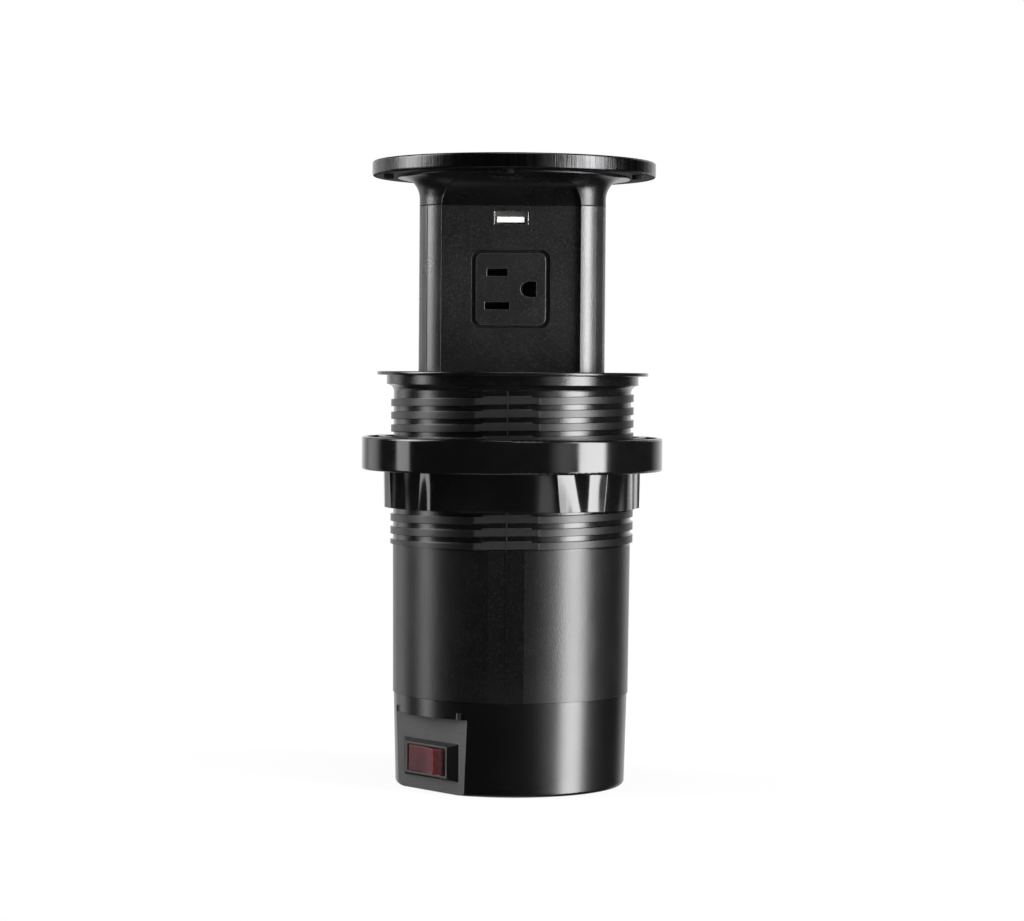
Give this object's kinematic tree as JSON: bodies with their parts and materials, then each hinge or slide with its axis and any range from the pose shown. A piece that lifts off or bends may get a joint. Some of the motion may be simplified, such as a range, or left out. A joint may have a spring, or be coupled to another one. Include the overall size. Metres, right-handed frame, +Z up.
{
  "type": "in-desk power module",
  "caption": "Pull-up desk power module: a round lid on a rounded triangular tower with sockets slides out of a threaded barrel with a clamp nut, and a rocker switch sits in the base cap.",
  "frame": {"origin": "centre of the base cap's underside, on the axis of the barrel", "axes": "+Z up along the barrel's axis, -Y out of the front outlet, +X to the right when facing that outlet"},
  "size_m": [0.117, 0.117, 0.2412],
  "materials": {
    "housing_plastic": "satin moulded black, slightly grained",
    "cap_plastic": "semi-gloss moulded black",
    "nut_plastic": "gloss black",
    "slip_plastic": "satin black",
    "tower_plastic": "finely grained charcoal",
    "outlet_plastic": "satin black",
    "lid_metal": "black, brushed up and down the rim",
    "pad_rubber": "matte",
    "rocker_red": "dark red translucent",
    "switch_plastic": "gloss black",
    "gland_plastic": "satin black nylon",
    "lead_rubber": "matte black jacket",
    "contact_brass": "bright stamped brass",
    "shell_steel": "tin-plated sheet",
    "tongue_plastic": "white",
    "board_laminate": "green laminate",
    "screw_steel": "plated",
    "spring_steel": "bright rolled"
  },
  "bodies": {
    "housing": {"housing_tube": "housing_plastic", "guide_ring": "housing_plastic", "guide_screws": "screw_steel", "base_cap": "cap_plastic", "cap_screws": "screw_steel", "partition_plate": "housing_plastic", "switch_frame": "switch_plastic", "line_terminal": "contact_brass", "load_terminal": "contact_brass", "lamp_terminal": "contact_brass", "cable_gland": "gland_plastic", "gland_nut": "gland_plastic", "lift_lead": "lead_rubber"},
    "tower": {"lid_disc": "lid_metal", "lid_pads": "pad_rubber", "lid_screws": "screw_steel", "tower_head": "tower_plastic", "head_screws": "screw_steel", "tower_base": "tower_plastic", "base_screws": "screw_steel", "brake_springs": "spring_steel", "corner_post_right": "tower_plastic", "corner_post_left": "tower_plastic", "corner_post_rear": "tower_plastic", "front_panel": "tower_plastic", "outlet_front": "outlet_plastic", "live_contact_front": "contact_brass", "neutral_contact_front": "contact_brass", "earth_contact_front": "contact_brass", "usb_shell_front": "shell_steel", "usb_tongue_front": "tongue_plastic", "usb_board_front": "board_laminate", "right_panel": "tower_plastic", "outlet_right": "outlet_plastic", "live_contact_right": "contact_brass", "neutral_contact_right": "contact_brass", "earth_contact_right": "contact_brass", "usb_shell_right": "shell_steel", "usb_tongue_right": "tongue_plastic", "usb_board_right": "board_laminate", "left_panel": "tower_plastic", "outlet_left": "outlet_plastic", "live_contact_left": "contact_brass", "neutral_contact_left": "contact_brass", "earth_contact_left": "contact_brass", "usb_shell_left": "shell_steel", "usb_tongue_left": "tongue_plastic", "usb_board_left": "board_laminate"},
    "rocker": {"rocker": "rocker_red"},
    "slip": {"slip_ring": "slip_plastic"},
    "nut": {"clamp_nut": "nut_plastic"}
  },
  "joints": [
    {"name": "tower_slide", "type": "slide", "parent": "housing", "child": "tower", "axis": [0, 0, 1], "range_m": [-0.0735, 0], "deforming": ["lift_lead"]},
    {"name": "rocker_tilt", "type": "hinge", "parent": "housing", "child": "rocker", "pos_m": [-0.02784, -0.02688, 0.0121], "axis": [0, 0, 1], "range_deg": [0, 20]},
    {"name": "nut_travel", "type": "slide", "parent": "housing", "child": "slip", "axis": [0, 0, 1], "range_m": [-0.0135, 0.0175]},
    {"name": "nut_turn", "type": "hinge", "parent": "slip", "child": "nut", "pos_m": [0, 0, 0.121], "axis": [0, 0, 1], "range_deg": [-970, 1260]}
  ],
  "couplings": [
    {"joint": "nut_travel", "follows": "nut_turn", "m_per_rad": 0.00078623}
  ]
}
